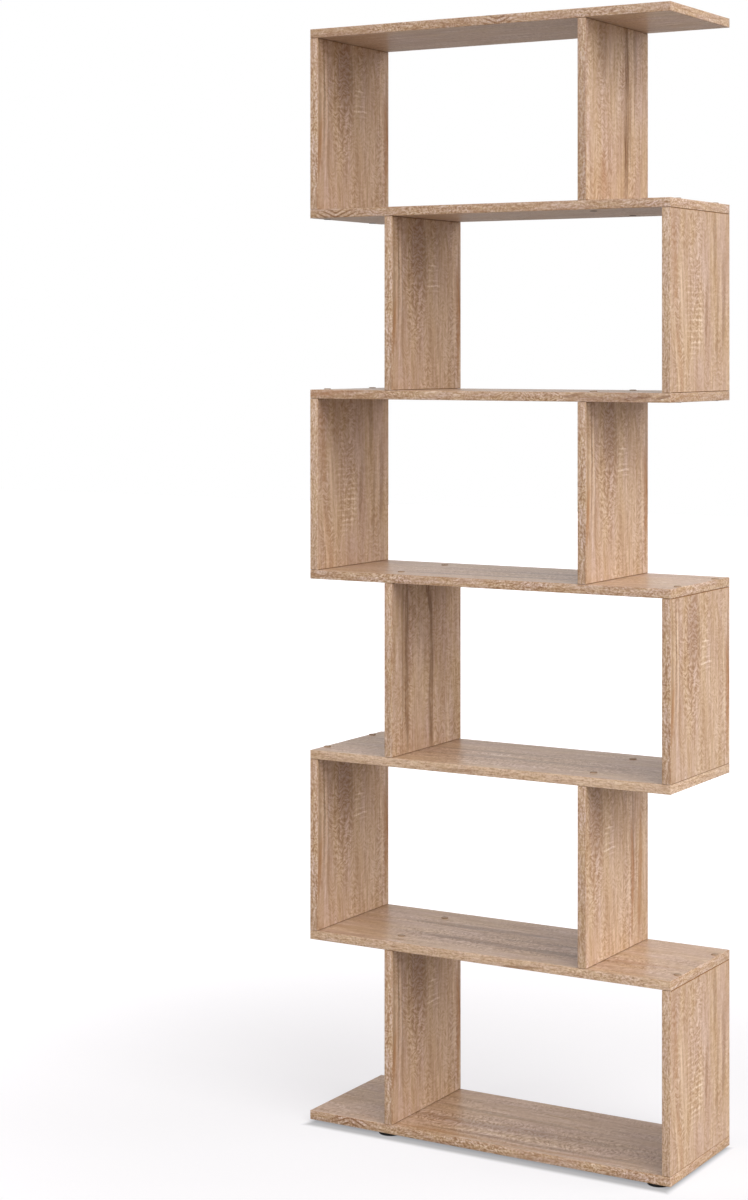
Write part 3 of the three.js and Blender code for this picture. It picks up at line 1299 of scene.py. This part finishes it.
@dataclass
class ConnectingScrews:
    """Steel screws that run through a board into the end of a panel, and the covers over them.

    A pattern of each is modelled once at the origin, with the face that it enters at z = 0 and its
    axis on Z, and every screw, cap, disc and hole is a copy of one.
    """

    # Where a thread's flank, crest and second flank end, as shares of its pitch
    THREAD_SHARES = (0.4, 0.5, 0.9)
    # The rings of a cap's side and dome, as shares of its radius and of its height
    DOME_SHARES = ((1.0, 0.45), (0.97, 0.7), (0.9, 0.86), (0.6, 0.97), (0.2, 1.0))
    HEXAGON_SIDES = 6

    finishes: Finishes
    board_thickness: float
    length: float = 50 * MM
    head_radius: float = 5 * MM
    head_height: float = 1.6 * MM
    head_edge: float = 0.3 * MM
    head_sink: float = 0.4 * MM
    shoulder_radius: float = 3.5 * MM
    thread_radius: float = 3.2 * MM
    core_radius: float = 2.5 * MM
    thread_pitch: float = 2.6 * MM
    thread_lead: float = 0.5 * MM
    tip_radius: float = 1.6 * MM
    tip_length: float = 5 * MM
    socket_across: float = 4 * MM
    socket_depth: float = 3.5 * MM
    clearance: float = 0.3 * MM
    pilot_spare: float = 3 * MM
    cut_overrun: float = 2 * MM
    cap_radius: float = 6.4 * MM
    cap_height: float = 1.7 * MM
    cap_stem_radius: float = 1.7 * MM
    cap_stem_depth: float = 2.4 * MM
    cap_smooth_angle: float = 40.0
    disc_radius: float = 6.2 * MM
    disc_height: float = 0.5 * MM
    sides: int = 24
    screw: bpy.types.Object = field(init=False)
    cap: bpy.types.Object = field(init=False)
    disc: bpy.types.Object = field(init=False)
    board_cutter: bpy.types.Object = field(init=False)
    pilot_cutter: bpy.types.Object = field(init=False)

    def __post_init__(self) -> None:
        """Models the patterns."""
        self.screw = self.model_screw()
        self.cap = self.model_cap()
        self.disc = self.model_disc()
        self.board_cutter = self.model_board_cutter()
        self.pilot_cutter = self.model_pilot_cutter()

    def model_screw(self) -> bpy.types.Object:
        """Models a screw with a flat countersunk head, a plain shoulder and a coarse thread."""
        cone = self.head_radius - self.shoulder_radius
        shoulder_end = self.board_thickness - self.head_sink
        rings = [
            (self.head_radius - self.head_edge, 0.0),
            (self.head_radius, -self.head_edge),
            (self.head_radius, -self.head_height),
            (self.shoulder_radius, -self.head_height - cone),
            (self.shoulder_radius, -shoulder_end),
        ]
        start = shoulder_end + self.thread_lead
        end = self.length - self.tip_length
        rise, crest, fall = (share * self.thread_pitch for share in self.THREAD_SHARES)
        for turn in range(int((end - start) / self.thread_pitch)):
            top = -start - turn * self.thread_pitch
            rings += [
                (self.core_radius, top),
                (self.thread_radius, top - rise),
                (self.thread_radius, top - crest),
                (self.core_radius, top - fall),
            ]
        rings += [(self.core_radius, -end), (self.tip_radius, -self.length)]
        screw = turn_piece("screw_pattern", rings, self.sides)
        socket_radius = self.socket_across / math.sqrt(3)
        socket = turn_piece(
            "socket_cutter",
            [(socket_radius, self.cut_overrun), (socket_radius, -self.socket_depth)],
            self.HEXAGON_SIDES,
        )
        drill(screw, [socket])
        smooth(screw)
        sink = Vector((0, 0, -self.head_sink))
        sunk = copy_to(screw, "sunk_screw_pattern", sink)
        bpy.data.objects.remove(screw)
        return sunk

    def model_cap(self) -> bpy.types.Object:
        """Models a domed cap with a stem that is pressed into the screw's socket."""
        rings = [
            (self.cap_stem_radius, -self.cap_stem_depth),
            (self.cap_stem_radius, 0.0),
            (self.cap_radius, 0.0),
        ]
        rings += [(out * self.cap_radius, up * self.cap_height) for out, up in self.DOME_SHARES]
        cap = turn_piece("cap_pattern", rings, self.sides)
        smooth(cap, self.cap_smooth_angle)
        return cap

    def model_disc(self) -> bpy.types.Object:
        """Models the thin flat disc that is stuck over a screw's head on an underside."""
        edge = self.disc_height / 2
        rings = [
            (self.disc_radius, 0.0),
            (self.disc_radius, self.disc_height - edge),
            (self.disc_radius - edge, self.disc_height),
        ]
        disc = turn_piece("disc_pattern", rings, self.sides)
        smooth(disc)
        return disc

    def model_board_cutter(self) -> bpy.types.Object:
        """Models the stepped hole for a screw through a board."""
        head = self.head_radius + self.clearance
        shank = self.shoulder_radius + self.clearance
        rim = self.head_sink + self.head_height
        rings = [
            (head, self.cut_overrun),
            (head, -rim),
            (shank, -rim - head + shank),
            (shank, -self.board_thickness - self.cut_overrun),
        ]
        return turn_piece("board_cutter_pattern", rings, self.sides)

    def model_pilot_cutter(self) -> bpy.types.Object:
        """Models the blind hole in a panel's end."""
        radius = self.thread_radius + self.clearance
        depth = self.length + self.head_sink - self.board_thickness + self.pilot_spare
        rings = [(radius, self.cut_overrun), (radius, -depth)]
        return turn_piece("pilot_cutter_pattern", rings, self.sides)

    def cutters(
        self, pattern: bpy.types.Object, holes: list[tuple[Vector, float]]
    ) -> list[bpy.types.Object]:
        """Sets a cutter at each place.

        Args:
            pattern: the cutter to use.
            holes: where each axis meets the face that is entered, and 1 if that face looks up
                or -1 if it looks down.

        Returns:
            The cutters.
        """
        return [copy_to(pattern, "cutter", place, up) for place, up in holes]

    def place_screw(self, name: str, face: Vector, up: float, replaced: str | None) -> None:
        """Sets a screw in a board.

        Args:
            name: the screw's name.
            face: where its axis meets the board's face.
            up: 1 if that face looks up, -1 if it looks down.
            replaced: the CAD node that it stands for, if there is one.
        """
        screw = copy_to(self.screw, name, face, up)
        dress(screw, [self.finishes.screw], MaterialSlot.SCREW)
        if replaced:
            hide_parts(replaced)

    def place_cap(self, name: str, face: Vector, up: float) -> None:
        """Covers a screw's head, with a domed cap on a top side and a flat disc on an underside.

        Args:
            name: the cover's name.
            face: where the screw's axis meets the board's face.
            up: 1 if that face looks up, -1 if it looks down.
        """
        if up > 0:
            pattern, finish = self.cap, self.finishes.cap
        else:
            pattern, finish = self.disc, self.finishes.disc
        dress(copy_to(pattern, name, face, up), [finish], MaterialSlot.CAP)

    def clear_patterns(self) -> None:
        """Deletes the patterns once every copy is in place."""
        patterns = (self.screw, self.cap, self.disc, self.board_cutter, self.pilot_cutter)
        for pattern in patterns:
            bpy.data.objects.remove(pattern)


@dataclass
class BandedSheet:
    """A cut sheet of laminated chipboard with glued bands on its open edges."""

    finishes: Finishes
    band_thickness: float = 1.5 * MM
    band_radius: float = 1.2 * MM
    band_segments: int = 3
    core_radius: float = 0.2 * MM

    def band(self, low: Vector, high: Vector, axis: Axis, side: int) -> bpy.types.Object:
        """Makes one strip of edge band, rounded on its outer edges.

        Args:
            low: the sheet's lowest corner.
            high: its highest corner.
            axis: the axis that the strip faces along.
            side: 1 if it faces the positive way, -1 if the negative.

        Returns:
            The strip.
        """
        i = axis.value
        strip_low, strip_high = low.copy(), high.copy()
        if side > 0:
            strip_low[i] = high[i] - self.band_thickness
        else:
            strip_high[i] = low[i] + self.band_thickness
        strip = start_block("strip", strip_low, strip_high)
        outer = high[i] if side > 0 else low[i]
        round_edges(
            strip,
            lambda a, b: abs(a[i] - outer) < TINY and abs(b[i] - outer) < TINY,
            self.band_radius,
            self.band_segments,
        )
        return strip


@dataclass
class Board(BandedSheet):
    """A full-width board that lies flat, with its grain along X and bands on all four edges."""

    def build(self, node: str, number: int, cutters: list[bpy.types.Object]) -> None:
        """Builds a board in the place of its CAD node.

        Args:
            node: the board's CAD node.
            number: its number from the floor up.
            cutters: the shapes of its holes.
        """
        low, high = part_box(node)
        t = self.band_thickness
        inset = Vector((t, t, 0))
        core = start_block(f"{node}_core", low + inset, high - inset)
        # The rim is eased a little, so that a fine line parts the core from its bands
        round_edges(core, lambda a, b: abs(a.z - b.z) < TINY, self.core_radius, 1)
        drill(core, cutters)
        cut = BOARD_CUTS[number]
        lay_print(core, Axis.X, low, cut.across, cut.along)
        dress(core, [self.finishes.laminate], MaterialSlot.LAMINATE)
        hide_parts(node)

        # The end bands fit between the front and rear ones
        edge_cut = EDGE_CUTS[number]
        end_low, end_high = low + Vector((0, t, 0)), high - Vector((0, t, 0))
        strips = []
        for side in (-1, 1):
            strip = self.band(low, high, Axis.Y, side)
            lay_print(strip, Axis.X, low, edge_cut.across, edge_cut.along)
            strips.append(strip)
            strip = self.band(end_low, end_high, Axis.X, side)
            lay_print(strip, Axis.Y, low, edge_cut.across, edge_cut.along + END_BAND_SHIFT)
            strips.append(strip)
        band = join(f"{node}_edge_band", strips)
        smooth(band)
        dress(band, [self.finishes.edge_band], MaterialSlot.EDGE_BAND)


@dataclass
class Panels(BandedSheet):
    """Upright panels, all alike, with their grain along Z and bands on front and rear edges.

    One core and one pair of bands are modelled standing on the origin, and each panel is a copy.
    """

    end_radius: float = 0.9 * MM
    end_segments: int = 2
    # A face that looks along X by less than this isn't one of the two laminated sides
    laminated_normal: float = 0.95
    core: bpy.types.Object = field(init=False)
    bands: bpy.types.Object = field(init=False)

    def model(self, node: str, rows: list[float], screws: ConnectingScrews) -> None:
        """Models the patterns.

        Args:
            node: the CAD node of any panel.
            rows: where the screws' axes lie on Y.
            screws: the screws that the holes fit.
        """
        box_low, box_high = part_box(node)
        size = box_high - box_low
        low = Vector((-size.x / 2, -size.y / 2, 0.0))
        high = Vector((size.x / 2, size.y / 2, size.z))
        inset = Vector((0, self.band_thickness, 0))
        self.core = start_block("core_pattern", low + inset, high - inset)
        # The cut ends are eased more, so that a fine dark line shows where they meet a board
        round_edges(
            self.core,
            lambda a, b: abs(a.z - b.z) < TINY and abs(a.x - b.x) < TINY,
            self.end_radius,
            self.end_segments,
        )
        round_edges(self.core, lambda a, b: abs(a.z - b.z) > size.z / 2, self.core_radius, 1)
        holes = [(Vector((0, y, high.z)), 1.0) for y in rows]
        holes += [(Vector((0, y, low.z)), -1.0) for y in rows]
        drill(self.core, screws.cutters(screws.pilot_cutter, holes))
        strips = [self.band(low, high, Axis.Y, side) for side in (-1, 1)]
        self.bands = join("bands_pattern", strips)
        smooth(self.bands)

    def build(self, node: str) -> None:
        """Stands a panel in the place of its CAD node."""
        low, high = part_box(node)
        place = Vector(((low.x + high.x) / 2, (low.y + high.y) / 2, low.z))
        cut = PANEL_CUTS[node]
        core = copy_to(self.core, f"{node}_core", place)
        lay_print(core, Axis.Z, low, cut.across, cut.along)
        dress(core, [self.finishes.laminate, self.finishes.chipboard], MaterialSlot.LAMINATE)
        # Only the two sides carry laminate, so the ends with their eased edges are bare
        give_faces(core, 1, lambda normal: abs(normal.x) < self.laminated_normal)
        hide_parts(node)
        bands = copy_to(self.bands, f"{node}_edge_bands", place)
        lay_print(bands, Axis.Z, low, BAND_ROLL + cut.across, cut.along)
        dress(bands, [self.finishes.edge_band], MaterialSlot.EDGE_BAND)

    def clear_patterns(self) -> None:
        """Deletes the patterns once every copy is in place."""
        for pattern in (self.core, self.bands):
            bpy.data.objects.remove(pattern)


@dataclass
class Glides:
    """Round moulded glides, each with a spigot pushed up into the base board."""

    finishes: Finishes
    edge_radius: float = 1.6 * MM
    edge_steps: int = 4
    rim_radius: float = 0.4 * MM
    disc_height: float = 4.7 * MM
    spigot_radius: float = 4 * MM
    spigot_taper: float = 0.9 * MM
    hole_clearance: float = 0.3 * MM
    hole_spare: float = 2 * MM
    sides: int = 48

    def nodes(self) -> list[str]:
        """Names the CAD nodes of the four glides."""
        return [f"foot_{side}_{row}" for side in ("left", "right") for row in ("front", "rear")]

    def place(self, node: str) -> Vector:
        """Finds the middle of a glide's foot on the floor."""
        low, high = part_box(node)
        return Vector(((low.x + high.x) / 2, (low.y + high.y) / 2, low.z))

    def build(self) -> None:
        """Models one glide and stands a copy in the place of each CAD node."""
        pattern = self.model(*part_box(self.nodes()[0]))
        for node in self.nodes():
            glide = copy_to(pattern, f"{node}_glide", self.place(node))
            dress(glide, [self.finishes.glide], MaterialSlot.GLIDE)
            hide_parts(node)
        bpy.data.objects.remove(pattern)

    def cutters(self) -> list[bpy.types.Object]:
        """Makes the shapes of the blind holes that the spigots fit, one for each glide."""
        low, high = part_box(self.nodes()[0])
        radius = self.spigot_radius + self.hole_clearance
        rings = [(radius, 0.0), (radius, high.z - low.z + self.hole_spare)]
        pattern = turn_piece("spigot_cutter_pattern", rings, self.sides)
        cutters = [copy_to(pattern, "cutter", self.place(node)) for node in self.nodes()]
        bpy.data.objects.remove(pattern)
        return cutters

    def model(self, low: Vector, high: Vector) -> bpy.types.Object:
        """Models a glide at the origin.

        Args:
            low: the lowest corner of the space that it fills.
            high: the highest corner.

        Returns:
            The glide.
        """
        radius = (high.x - low.x) / 2
        height = high.z - low.z
        rings = []
        for step in range(self.edge_steps + 1):
            angle = math.pi / 2 * step / self.edge_steps
            inwards, up = 1 - math.sin(angle), 1 - math.cos(angle)
            rings.append((radius - self.edge_radius * inwards, self.edge_radius * up))
        rings += [
            (radius, self.disc_height - self.rim_radius),
            (radius - self.rim_radius, self.disc_height),
            (self.spigot_radius, self.disc_height),
            (self.spigot_radius, height - self.spigot_taper),
            (self.spigot_radius - self.spigot_taper, height),
        ]
        glide = turn_piece("glide_pattern", rings, self.sides)
        smooth(glide)
        return glide


@dataclass
class Bookshelf:
    """The whole shelf: boards, panels, screws with their caps or discs, and glides."""

    finishes: Finishes
    levels: int = BOARD_COUNT - 1

    def board_node(self, number: int) -> str:
        """Names the CAD node of a board, counted from 0 at the floor."""
        if number == 0:
            return "base_board"
        return "top_board" if number == self.levels else f"shelf_board_{number}"

    def sides(self, level: int) -> tuple[str, str]:
        """Names where the two panels of a level stand."""
        if level % 2:
            return "inner_left", "outer_right"
        return "outer_left", "inner_right"

    def screw_axes(self, level: int) -> list[tuple[str, str, float, float]]:
        """Finds the screws' axes at a level.

        Args:
            level: the level, counted from 1 at the floor.

        Returns:
            The side, the row, x and y of each axis.
        """
        found = []
        for side in self.sides(level):
            for row in ("front", "rear"):
                low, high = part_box(f"screw_{level}_{side}_top_{row}")
                found.append((side, row, (low.x + high.x) / 2, (low.y + high.y) / 2))
        return found

    def build(self) -> None:
        """Builds every piece, from the floor up."""
        low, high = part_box(self.board_node(0))
        screws = ConnectingScrews(self.finishes, board_thickness=high.z - low.z)
        glides = Glides(self.finishes)
        glides.build()

        boards = [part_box(self.board_node(n)) for n in range(self.levels + 1)]
        for number in range(self.levels + 1):
            low, high = boards[number]
            holes = []
            if number > 0:
                holes += [(Vector((x, y, high.z)), 1.0) for _, _, x, y in self.screw_axes(number)]
            if number < self.levels:
                below = self.screw_axes(number + 1)
                holes += [(Vector((x, y, low.z)), -1.0) for _, _, x, y in below]
            cutters = screws.cutters(screws.board_cutter, holes)
            if number == 0:
                cutters += glides.cutters()
            Board(self.finishes).build(self.board_node(number), number, cutters)

        panels = Panels(self.finishes)
        side = self.sides(1)[0]
        rows = [y for s, _, _, y in self.screw_axes(1) if s == side]
        panels.model(f"panel_1_{side}", rows, screws)
        for level in range(1, self.levels + 1):
            for side in self.sides(level):
                panels.build(f"panel_{level}_{side}")
            self.build_screws(level, screws, boards[level][1].z, boards[level - 1][0].z)
        panels.clear_patterns()
        screws.clear_patterns()

    def build_screws(
        self, level: int, screws: ConnectingScrews, top_face: float, low_face: float
    ) -> None:
        """Sets the screws and their covers at both ends of a level's panels.

        Args:
            level: the level, counted from 1 at the floor.
            screws: the screws' maker.
            top_face: the height of the board face over the panels.
            low_face: the height of the board face under them.
        """
        for side, row, x, y in self.screw_axes(level):
            for end, face, up in (("top", top_face, 1.0), ("bottom", low_face, -1.0)):
                node = f"screw_{level}_{side}_{end}_{row}"
                has_node = end == "top" or row == "front"
                place = Vector((x, y, face))
                screws.place_screw(f"{node}_steel", place, up, node if has_node else None)
                # The heads under the base board are left open, because they don't show
                if level > 1 or end == "top":
                    screws.place_cap(f"cap_{level}_{side}_{end}_{row}", place, up)


# Studio


@dataclass(frozen=True)
class SoftLamp:
    """A large soft lamp that is so far off that every level of the shelf gets the same light.

    Attributes:
        name: the lamp's name.
        turn: its direction in degrees, from the shelf's right (+X) towards the front (-Y).
        height: how high it stands, in degrees.
        strength: how bright it is.
        spread: how wide it looks from the shelf, in degrees.
        distance: where its marker stands, which doesn't change its light.
    """

    name: str
    turn: float
    height: float
    strength: float
    spread: float = 45.0
    distance: float = 5.0

    def add(self) -> None:
        """Adds the lamp to the scene."""
        data = bpy.data.lights.new(self.name, "SUN")
        data.energy = self.strength
        data.angle = math.radians(self.spread)
        lamp = bpy.data.objects.new(self.name, data)
        bpy.context.scene.collection.objects.link(lamp)
        turn, height = math.radians(self.turn), math.radians(self.height)
        level = math.cos(height)
        towards = Vector((math.cos(turn) * level, -math.sin(turn) * level, math.sin(height)))
        lamp.location = self.distance * towards
        lamp.rotation_euler = towards.to_track_quat("Z", "Y").to_euler()


# The strongest stand on the right. The rest soften the front and the dark left side.
LAMPS = (
    SoftLamp("key_right", turn=30.0, height=50.0, strength=1.62),
    SoftLamp("low_right", turn=20.0, height=20.0, strength=0.88),
    SoftLamp("low_back_right", turn=-20.0, height=20.0, strength=1.42),
    SoftLamp("fill_front", turn=100.0, height=20.0, strength=1.0),
    SoftLamp("fill_left", turn=-165.0, height=12.0, strength=0.6),
)


@dataclass(frozen=True)
class Studio:
    """A white studio: a pale floor, white screens behind and to the left, and soft lamps.

    Attributes:
        camera_place: where the camera stands.
        camera_turn: how far it is turned from straight ahead, in degrees.
        lens: its focal length in millimetres.
        sensor_width: its sensor's width in millimetres.
        shift_y: how far its frame is shifted up, as a share of the longer side.
        floor_size: the floor's width.
        floor_bounce: how much light the floor sends back to the shelf.
        floor_shown: the same, as the camera and a shiny surface see it.
        floor_tint: the colour of the floor's own glow.
        floor_glow: how bright that glow is under the shelf.
        glow_start: how far from the middle the glow starts to grow to white.
        glow_end: where it is white.
        shade_level: the floor's brightness left in the shade painted under the base board.
        shade_front: how far that painted shade reaches past the board's front.
        shade_fade: half the width of its soft rim.
        ambient: how strongly the surround lights the shelf.
        ambient_tint: the surround's colour as a light.
        screen_level: how bright the white screens are in mirrored light.
        room_level: the same of the open room.
        screen_way: which way the middle of the screens lies.
        screen_start: the dot product of a view and that way at which the screens start.
        screen_end: the dot product at which they are at their brightest.
    """

    camera_place: tuple[float, float, float] = (1.9920, -3.8305, 1.3801)
    camera_turn: float = 30.80
    lens: float = 73.54
    sensor_width: float = 36.0
    shift_y: float = -0.2085
    floor_size: float = 30.0
    floor_bounce: float = 0.5
    floor_shown: float = 0.34
    floor_tint: str = "#f9faff"
    floor_glow: float = 0.68
    glow_start: float = 0.5
    glow_end: float = 2.4
    # A shade painted on the floor under and just before the base board
    shade_level: float = 0.53
    shade_front: float = 16 * MM
    shade_fade: float = 9 * MM
    ambient: float = 0.2
    ambient_tint: str = "#ffd2a6"
    screen_level: float = 0.85
    room_level: float = 0.06
    screen_way: tuple[float, float, float] = (-0.97, 0.26, 0.6)
    screen_start: float = -0.3
    screen_end: float = 0.4

    def build(self) -> None:
        """Builds the camera, the floor, the surround and the lamps."""
        self.add_camera()
        self.add_floor()
        self.add_surround()
        for lamp in LAMPS:
            lamp.add()

    def add_camera(self) -> None:
        """Adds the level camera, shifted so that uprights stay upright."""
        data = bpy.data.cameras.new("photo_camera")
        camera = bpy.data.objects.new("photo_camera", data)
        bpy.context.scene.collection.objects.link(camera)
        camera.location = self.camera_place
        camera.rotation_euler = (math.radians(90), 0, math.radians(self.camera_turn))
        data.sensor_width = self.sensor_width
        data.lens = self.lens
        data.shift_y = self.shift_y
        bpy.context.scene.camera = camera

    def add_floor(self) -> None:
        """Adds a pale floor that fades to white far off, with painted shade under the shelf."""
        bpy.ops.object.select_all(action="DESELECT")
        bpy.ops.mesh.primitive_plane_add(size=self.floor_size, location=(0, 0, 0))
        floor = bpy.context.active_object
        floor.name = "studio_floor"
        material, tree = new_material("studio_floor_paper")
        path = add_node(tree, "ShaderNodeLightPath").outputs
        seen = path["Is Camera Ray"]
        looked_at = add_node(
            tree, "ShaderNodeMath", {0: seen, 1: path["Is Glossy Ray"]}, operation="MAXIMUM"
        ).outputs[0]
        place = add_node(tree, "ShaderNodeTexCoord").outputs["Object"]
        away = add_node(
            tree, "ShaderNodeVectorMath", {0: place}, operation="LENGTH"
        ).outputs["Value"]
        glow = add_node(
            tree,
            "ShaderNodeMapRange",
            {
                "Value": away,
                "From Min": self.glow_start,
                "From Max": self.glow_end,
                "To Min": self.floor_glow,
                "To Max": 1.0,
            },
            interpolation_type="SMOOTHSTEP",
        ).outputs[0]
        glow = add_node(
            tree, "ShaderNodeMath", {0: glow, 1: seen}, operation="MULTIPLY"
        ).outputs[0]
        level = add_node(
            tree,
            "ShaderNodeMapRange",
            {"Value": looked_at, "To Min": self.floor_bounce, "To Max": self.floor_shown},
        ).outputs[0]
        # Painted shade: the floor's glow and colour dim under and just before the base board
        shade = self.painted_shade_under_shelf(tree, place)
        glow = add_node(
            tree, "ShaderNodeMath", {0: glow, 1: shade}, operation="MULTIPLY"
        ).outputs[0]
        level = add_node(
            tree, "ShaderNodeMath", {0: level, 1: shade}, operation="MULTIPLY"
        ).outputs[0]
        diffuse = add_node(tree, "ShaderNodeBsdfDiffuse", {"Color": level}).outputs[0]
        white = add_node(
            tree, "ShaderNodeEmission", {"Color": linear(self.floor_tint), "Strength": glow}
        ).outputs[0]
        shader = add_node(tree, "ShaderNodeAddShader", {0: diffuse, 1: white}).outputs[0]
        add_node(tree, "ShaderNodeOutputMaterial", {"Surface": shader})
        floor.data.materials.append(material)

    def painted_shade_under_shelf(
        self, tree: bpy.types.NodeTree, place: bpy.types.NodeSocket
    ) -> bpy.types.NodeSocket:
        """Adds the nodes for a shade painted on the floor under and just before the base board.

        Args:
            tree: the floor's node tree.
            place: the place on the floor, in metres.

        Returns:
            The floor's brightness that is left: 1 away from the board, less in the painted shade.
        """
        low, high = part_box("base_board")
        low = low - Vector((0, self.shade_front, 0))
        middle = (low + high) / 2
        off = add_node(
            tree, "ShaderNodeVectorMath", {0: place, 1: tuple(middle)}, operation="SUBTRACT"
        ).outputs[0]
        off = add_node(tree, "ShaderNodeVectorMath", {0: off}, operation="ABSOLUTE").outputs[0]
        half = tuple((high - low) / 2)
        past = add_node(
            tree, "ShaderNodeVectorMath", {0: off, 1: half}, operation="SUBTRACT"
        ).outputs[0]
        sides = add_node(tree, "ShaderNodeSeparateXYZ", {0: past}).outputs
        past = add_node(
            tree, "ShaderNodeMath", {0: sides["X"], 1: sides["Y"]}, operation="MAXIMUM"
        ).outputs[0]
        return add_node(
            tree,
            "ShaderNodeMapRange",
            {
                "Value": past,
                "From Min": -self.shade_fade,
                "From Max": self.shade_fade,
                "To Min": self.shade_level,
                "To Max": 1.0,
            },
            interpolation_type="SMOOTHSTEP",
        ).outputs[0]

    def add_surround(self) -> None:
        """Lights the scene evenly, shows white behind it and mirrors white screens.

        The screens stand behind and to the left, and the room to the right of them is dark.
        """
        world = bpy.data.worlds.new("studio_surround")
        world.use_nodes = True
        tree = world.node_tree
        tree.nodes.clear()
        path = add_node(tree, "ShaderNodeLightPath").outputs
        way = add_node(tree, "ShaderNodeTexCoord").outputs["Generated"]
        turned_to = add_node(
            tree, "ShaderNodeVectorMath", {0: way, 1: self.screen_way}, operation="DOT_PRODUCT"
        ).outputs["Value"]
        screens = add_node(
            tree,
            "ShaderNodeMapRange",
            {
                "Value": turned_to,
                "From Min": self.screen_start,
                "From Max": self.screen_end,
                "To Min": self.room_level,
                "To Max": self.screen_level,
            },
            interpolation_type="SMOOTHSTEP",
        ).outputs[0]
        mirrored = add_node(
            tree,
            "ShaderNodeMix",
            {0: path["Is Glossy Ray"], 2: self.ambient, 3: screens},
            data_type="FLOAT",
        ).outputs[0]
        shown = add_node(
            tree,
            "ShaderNodeMath",
            {0: path["Is Camera Ray"], 1: path["Is Transmission Ray"]},
            operation="MAXIMUM",
        ).outputs[0]
        strength = add_node(
            tree, "ShaderNodeMix", {0: shown, 2: mirrored, 3: 1.0}, data_type="FLOAT"
        ).outputs[0]
        looked_at = add_node(
            tree, "ShaderNodeMath", {0: shown, 1: path["Is Glossy Ray"]}, operation="MAXIMUM"
        ).outputs[0]
        tint = add_node(
            tree,
            "ShaderNodeMix",
            {0: looked_at, 6: linear(self.ambient_tint), 7: linear("#ffffff")},
            data_type="RGBA",
        ).outputs[2]
        background = add_node(
            tree, "ShaderNodeBackground", {"Color": tint, "Strength": strength}
        ).outputs[0]
        add_node(tree, "ShaderNodeOutputWorld", {"Surface": background})
        bpy.context.scene.world = world


def main() -> None:
    """Loads the frame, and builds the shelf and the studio."""
    logging.basicConfig(level=logging.INFO, format="%(name)s: %(message)s")
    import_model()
    Bookshelf(Finishes()).build()
    Studio().build()
    bpy.context.scene.view_settings.view_transform = "Standard"


if __name__ == "__main__":
    main()
